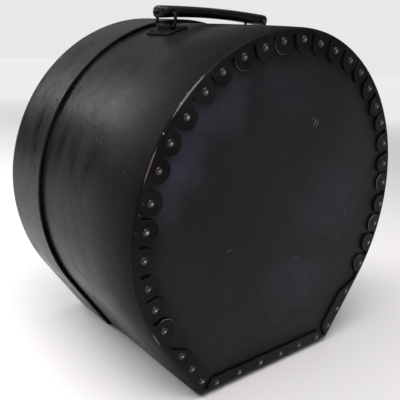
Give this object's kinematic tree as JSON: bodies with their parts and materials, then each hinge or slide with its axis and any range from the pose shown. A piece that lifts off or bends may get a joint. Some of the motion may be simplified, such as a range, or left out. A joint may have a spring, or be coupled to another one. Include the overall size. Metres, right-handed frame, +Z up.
{
  "type": "telescoping fibre case",
  "caption": "Round black fibre carrying case with a flat base, folded riveted tabs round its ends, a telescoping push-on lid and a drop handle on top.",
  "frame": {"origin": "on the surface the case stands on, under the middle of its overall box", "axes": "+Z up, +Y from the body's closed end towards the lid, +X to the right seen from the body's closed end"},
  "size_m": [0.388, 0.264, 0.393],
  "materials": {
    "fibre_wall": "satin black vulcanised fibre, worn at its folds",
    "fibre_panel": "matte black vulcanised fibre",
    "rivet": "dull nickelled steel with worn black lacquer",
    "footplate": "black lacquered steel",
    "backing_plate": "black lacquered steel",
    "handle_loop": "dull steel wire",
    "handle_grip": "satin black moulding"
  },
  "bodies": {
    "case": {"body_seam_rivets": "rivet", "body_wall": "fibre_wall", "front_base_rivets": "rivet", "front_left_slant_rivets": "rivet", "front_panel": "fibre_panel", "front_right_slant_rivets": "rivet", "front_tab_rivets": "rivet", "left_backing_plate": "backing_plate", "left_foot_rivets": "rivet", "left_footplate": "footplate", "right_backing_plate": "backing_plate", "right_foot_rivets": "rivet", "right_footplate": "footplate"},
    "lid": {"lid_base_rivets": "rivet", "lid_end_panel": "fibre_panel", "lid_left_slant_rivets": "rivet", "lid_right_slant_rivets": "rivet", "lid_seam_rivets": "rivet", "lid_tab_rivets": "rivet", "lid_wall": "fibre_wall"},
    "left_loop": {"left_loop": "handle_loop"},
    "right_loop": {"right_loop": "handle_loop"},
    "grip": {"handle_grip": "handle_grip"}
  },
  "joints": [
    {"name": "lid_slide", "type": "slide", "parent": "case", "child": "lid", "axis": [0, 1, 0], "range_m": [0, 0.09]},
    {"name": "left_loop_swing", "type": "hinge", "parent": "case", "child": "left_loop", "pos_m": [-0.066, 0.006, 0.37036], "axis": [0, 1, 0], "range_deg": [-42, 42]},
    {"name": "right_loop_swing", "type": "hinge", "parent": "case", "child": "right_loop", "pos_m": [0.066, 0.006, 0.37036], "axis": [0, 1, 0], "range_deg": [-42, 42]},
    {"name": "grip_level", "type": "hinge", "parent": "left_loop", "child": "grip", "pos_m": [-0.066, 0.006, 0.3836], "axis": [0, 1, 0], "range_deg": [-42, 42]}
  ],
  "couplings": [
    {"joint": "right_loop_swing", "follows": "left_loop_swing", "ratio": 1},
    {"joint": "grip_level", "follows": "left_loop_swing", "ratio": -1}
  ]
}
